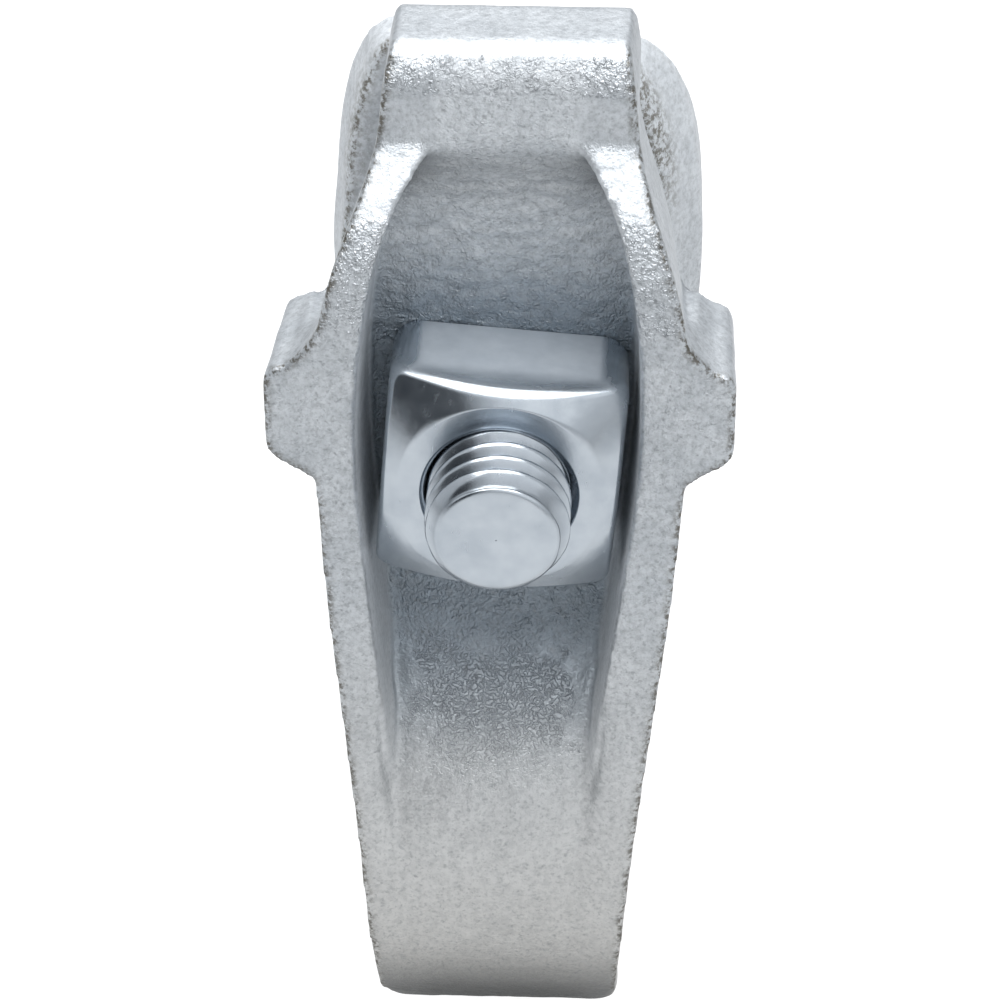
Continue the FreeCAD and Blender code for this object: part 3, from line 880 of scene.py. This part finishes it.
@dataclass
class SquareNut(Fastener):
    """The captive nut: a square with a chamfered, countersunk outer face and a threaded bore."""

    half_width: float = 7.85
    corner: float = 0.8
    back_corner: float = 1.8
    turn_degrees: float = 4.7
    front: float = -22.5
    height: float = 8.3
    face_radius: float = 6.85
    countersink_radius: float = 5.25
    lip: float = 0.1
    chamfer_degrees: float = 30.0
    edge_radius: float = 0.7
    top_edge_radius: float = 1.25
    top_share: Band = Band(0.55, 0.8)
    back_edge: float = 0.25
    root_shade: float = 0.7
    thread: Thread = Thread(major_radius=4.95)

    def satin(self, points: Array) -> Array:
        """The flats behind the chamfer, all but the corners between them."""
        across, up = points[..., 0], points[..., 2] - BOLT_HEIGHT
        lean = math.radians(self.turn_degrees)
        first = np.abs(across * math.cos(lean) - up * math.sin(lean))
        second = np.abs(across * math.sin(lean) + up * math.cos(lean))
        back = smoothstep(self.front + 1.6, self.front + 3.4, points[..., 1])
        corner = self.corner + (self.back_corner - self.corner) * back
        flat_half = self.half_width - corner
        flat = smoothstep(flat_half + 0.2, flat_half - 0.3, np.minimum(first, second))
        return smoothstep(self.face_radius, self.face_radius + 0.4, np.hypot(across, up)) * back * flat

    def profile(self) -> Profile:
        """Out of the bore from the back, over the face and its chamfer, back along the flats and in."""
        rings = Profile(self.steps_round)
        turn = rings.turn
        twist = turn - math.radians(self.turn_degrees)
        tilt = math.radians(self.chamfer_degrees)
        back = self.front + self.height
        side = square_radius(self.half_width, self.corner, twist)
        for y in np.linspace(back, self.front, 84):
            bore = self.thread.radius(np.full_like(turn, y), turn)
            flare = self.countersink_radius - (y - self.front)
            depth = (self.thread.major_radius - bore) / self.thread.depth
            # Painted shade in the thread roots of the bore.
            rings.ring(y, np.maximum(bore, flare), self.root_shade * (1 - depth) * (flare < bore))

        face_start = self.countersink_radius + self.lip
        rings.ring(self.front, self.countersink_radius + self.lip / 2)
        for t in np.linspace(0, 1, 5):
            rings.ring(self.front, face_start + t * (self.face_radius - self.lip - face_start))

        edge = (self.top_edge_radius - self.edge_radius) * self.top_share.share(np.cos(turn))
        edge = self.edge_radius + edge
        for t in np.linspace(0.0, 1.0, 8):
            chamfer = t * (side - edge * 0.6 - self.face_radius)
            rings.ring(self.front + chamfer * math.tan(tilt), self.face_radius + chamfer)
        setback = edge * math.tan((math.pi / 2 - tilt) / 2)
        edge_end = self.front + (side - self.face_radius) * math.tan(tilt) + setback
        for angle in np.linspace(tilt, math.pi / 2, 9):
            rings.ring(edge_end - edge * math.cos(angle), side - edge + edge * math.sin(angle))

        for t in np.linspace(0.15, 0.97, 8):
            flank = square_radius(self.half_width, self.corner + t * (self.back_corner - self.corner), twist)
            rings.ring(edge_end + t * (back - edge_end), flank)
        rings.ring(back - 0.06, flank - 0.03)
        rings.ring(back, flank - self.back_edge)
        for t in np.linspace(0.1, 1.0, 6):
            rings.ring(back, flank - self.back_edge - t * (flank - self.back_edge - self.thread.major_radius))
        rings.ring(back, self.thread.radius(np.full_like(turn, back), turn))
        return rings


@dataclass
class SquareHeadBolt(Fastener):
    """The bolt: threaded all along, with a chamfered point and a square head behind the hook."""

    end: float = -27.7
    end_radius: float = 3.9
    end_dip: float = 0.10
    thread_rings: int = 300
    root_shade: float = 0.8
    neck_length: float = 1.2
    neck_inset: float = 0.25
    seat: float = 4.05
    head_half_width: float = 7.145
    head_height: float = 6.35
    head_corner: float = 0.35
    head_edge: float = 0.35
    crown_radius: float = 6.6
    crown_height: float = 1.1
    crown_edge: float = 0.30
    thread: Thread = Thread()

    def profile(self) -> Profile:
        """From the middle of the threaded end to the head, round it and in to its middle."""
        rings = Profile(self.steps_round)
        turn = rings.turn
        major = self.thread.major_radius
        for t in np.linspace(0.01, 0.93, 10):
            rings.ring(self.end + self.end_dip * t ** 4, self.end_radius * t)
        rings.ring(self.end + 0.14, self.end_radius * 0.98)
        rings.ring(self.end + 0.22, self.end_radius + 0.02)

        neck = self.seat - self.neck_length
        for y in np.linspace(self.end + 0.3, neck, self.thread_rings):
            thread = self.thread.radius(np.full_like(turn, y), turn)
            chamfer = self.end_radius + y - self.end - 0.15
            run_out = smoothstep(neck - 1.0, neck, np.array(y))
            radius = np.minimum(thread, chamfer)
            radius = radius + run_out * (major - self.neck_inset - radius)
            depth = (major - thread) / self.thread.depth
            # Painted shade in the thread roots.
            rings.ring(y, radius, self.root_shade * depth * (1 - run_out))
        rings.ring(self.seat - 0.25, major - 0.15)
        rings.ring(self.seat, major + 0.1)

        side = square_radius(self.head_half_width, self.head_corner, turn)
        for t in np.linspace(0.2, 1.0, 5):
            rings.ring(self.seat, major + t * (side - self.head_edge - major))
        rings.ring(self.seat + 0.1, side - 0.1)
        flank_start = self.seat + self.head_edge
        rings.ring(flank_start, side)
        slope = self.crown_height / (self.head_half_width * math.sqrt(2) - self.crown_radius)
        head_end = self.seat + self.head_height
        rim = head_end - np.maximum(side - self.crown_radius, 0.0) * slope
        for t in np.linspace(0.1, 1.0, 8):
            rings.ring(flank_start + t * (rim - self.crown_edge - flank_start), side)
        rings.ring(rim - 0.08, side - 0.08)
        rings.ring(rim, side - self.crown_edge)
        for t in np.linspace(0.2, 1.0, 6):
            radius = side - self.crown_edge + t * (self.crown_radius - side + self.crown_edge)
            rings.ring(rim + t * (head_end - rim), radius)
        for t in np.linspace(0.9, 0.01, 8):
            rings.ring(head_end, self.crown_radius * t)
        return rings


def away_from_object(azimuth: float, elevation: float) -> Vector:
    """Unit direction from the object, from angles in degrees. Azimuth 0 is straight in front."""
    turn, rise = math.radians(azimuth), math.radians(elevation)
    return Vector((math.sin(turn) * math.cos(rise), -math.cos(turn) * math.cos(rise), math.sin(rise)))


@dataclass(frozen=True)
class Camera:
    """The photograph's viewpoint. Angles in degrees and lengths in mm."""

    target: tuple[float, float, float] = (0.05, -22.5, 33.15)
    azimuth: float = 2.4
    elevation: float = 34.0
    roll: float = -0.2
    distance: float = 250.0
    focal_px: float = 3810.0
    frame_px: float = 1000.0
    sensor_mm: float = 36.0
    nearest_m: float = 0.01
    farthest_m: float = 50.0

    def build(self) -> None:
        """Adds the camera and makes it the scene's own."""
        turn, lean = math.radians(self.azimuth), math.radians(self.roll)
        back = away_from_object(self.azimuth, self.elevation)
        level = Vector((math.cos(turn), math.sin(turn), 0.0))
        up = level.cross(-back)
        right = math.cos(lean) * level + math.sin(lean) * up
        top = -math.sin(lean) * level + math.cos(lean) * up
        data = bpy.data.cameras.new("photo_camera")
        data.sensor_fit = "HORIZONTAL"
        data.sensor_width = self.sensor_mm
        data.lens = self.focal_px * self.sensor_mm / self.frame_px
        data.clip_start = self.nearest_m
        data.clip_end = self.farthest_m
        camera = bpy.data.objects.new("photo_camera", data)
        bpy.context.scene.collection.objects.link(camera)
        spin = Matrix((right, top, back)).transposed()
        place = (Vector(self.target) + self.distance * back) * MM
        camera.matrix_world = Matrix.Translation(place) @ spin.to_4x4()
        bpy.context.scene.camera = camera


@dataclass(frozen=True)
class Softbox:
    """A soft lamp aimed at the object. Angles in degrees and lengths in metres."""

    name: str
    azimuth: float
    elevation: float
    distance: float
    width: float
    depth: float
    watts: float

    def build(self, aim: Vector) -> None:
        """Adds the lamp."""
        away = away_from_object(self.azimuth, self.elevation)
        data = bpy.data.lights.new(self.name, "AREA")
        data.shape = "RECTANGLE"
        data.size = self.width
        data.size_y = self.depth
        data.energy = self.watts
        lamp = bpy.data.objects.new(self.name, data)
        bpy.context.scene.collection.objects.link(lamp)
        lamp.location = aim + away * self.distance
        lamp.rotation_euler = away.to_track_quat("Z", "Y").to_euler()


@dataclass(frozen=True)
class PaperFinish(Finish):
    """White paper sweep: matt, with a faint fibre. It shows bright to the camera, dimmer in reflections."""

    fibre: Pattern = Pattern(1.5, detail=3.0)
    paper: float = 0.60
    paper_spread: float = 0.02
    shown_matt: float = 0.30
    shown_glow: float = 0.80

    def material(self, name: str) -> bpy.types.Material:
        """Paper that keeps the object's shadow: matt under a glow for the camera, plain matt for the rest."""
        material, g = new_material(name)
        fibre = g.add("MapRange", {
            VALUE: self.fibre.drawn(g),
            FROM_MIN: 0.3,
            FROM_MAX: 0.7,
            TO_MIN: self.paper - self.paper_spread,
            TO_MAX: self.paper + self.paper_spread,
        })
        paper = g.add("CombineColor", {"Red": fibre, "Green": fibre, "Blue": fibre})
        matt = g.add("BsdfDiffuse", {"Color": paper})
        thin = g.add("BsdfDiffuse", {"Color": (self.shown_matt,) * 3 + (1.0,)})
        glow = g.add("Emission", {"Color": WHITE, "Strength": self.shown_glow})
        seen = g.add("LightPath", out="Is Camera Ray")
        both = g.add("AddShader", {0: thin, 1: glow})
        g.add("OutputMaterial", {"Surface": g.add("MixShader", {0: seen, 1: matt, 2: both})})
        return material


@dataclass(frozen=True)
class Studio:
    """A white sweep under the object, a large softbox overhead and an even pale room with one dark flag."""

    floor_drop: float = 0.0002
    floor_reach: float = 4.0
    room: str = "#cfd2d5"
    flag: str = "#34383d"
    flag_side: tuple[float, float, float] = (-0.56, -0.80, 0.21)
    flag_edge: tuple[float, float] = (0.905, 0.95)
    lamps: tuple[Softbox, ...] = (
        Softbox("key_softbox", 4.0, 88.0, 0.50, 0.56, 0.86, 4.6),
        Softbox("front_fill", 24.0, 27.0, 0.70, 0.62, 0.40, 0.33),
    )

    def build(self, low: Vector, high: Vector) -> None:
        """Adds the lamps, the room's light and the floor.

        Args:
            low: Lowest corner of the object's box.
            high: Highest corner of the object's box.
        """
        aim = (low + high) / 2
        for lamp in self.lamps:
            lamp.build(aim)
        self.room_light()
        self.floor(low.z - self.floor_drop)

    def room_light(self) -> None:
        """The world: even grey with a dark flag for the object, white for the camera."""
        world = bpy.data.worlds.new("room")
        bpy.context.scene.world = world
        world.use_nodes = True
        g = Graph(world.node_tree)
        way = g.add("TexCoord", out="Generated")
        side = g.add("VectorMath", {0: way, 1: self.flag_side}, out="Value", operation="DOT_PRODUCT")
        edge = {VALUE: side, FROM_MIN: self.flag_edge[0], FROM_MAX: self.flag_edge[1]}
        flagged = g.add("MapRange", edge, interpolation_type="SMOOTHSTEP")
        colours = {SHARE: flagged, UNDER: linear(self.room), OVER: linear(self.flag)}
        tint = g.add("Mix", colours, out=MIXED, data_type="RGBA")
        grey = g.add("Background", {"Color": tint})
        white = g.add("Background", {"Color": WHITE})
        seen = g.add("LightPath", out="Is Camera Ray")
        g.add("OutputWorld", {"Surface": g.add("MixShader", {0: seen, 1: grey, 2: white})})

    def floor(self, height: float) -> None:
        """A pale sweep at a height in metres."""
        reach = self.floor_reach
        mesh = bpy.data.meshes.new("floor")
        rim = [(x * reach, y * reach, height) for x, y in ((-1, -1), (1, -1), (1, 1), (-1, 1))]
        mesh.from_pydata(rim, [], [(0, 1, 2, 3)])
        mesh.materials.append(PaperFinish().material("white_paper_sweep"))
        floor = bpy.data.objects.new("floor", mesh)
        bpy.context.scene.collection.objects.link(floor)
        floor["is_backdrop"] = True


def main() -> None:
    """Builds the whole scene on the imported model."""
    logging.basicConfig(level=logging.INFO, format="%(name)s: %(message)s")
    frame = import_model()
    cad_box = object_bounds()
    low, high = cad_box
    Camera().build()
    Studio().build(low, high)
    cast = CastFinish()
    plated = PlatedFinish()
    JawCasting("front_jaw", "jaw", "jaw_casting", cast).build(frame["nodes"]["front_jaw"])
    HookCasting("rear_hook", "hook", "hook_casting", cast).build(frame["nodes"]["rear_hook"])
    SquareNut("square_nut", "jaw", "captive_square_nut", plated).build()
    SquareHeadBolt("bolt", "bolt", "square_head_bolt", plated).build()
    bpy.context.scene.view_settings.view_transform = "Standard"


if __name__ == "__main__":
    main()
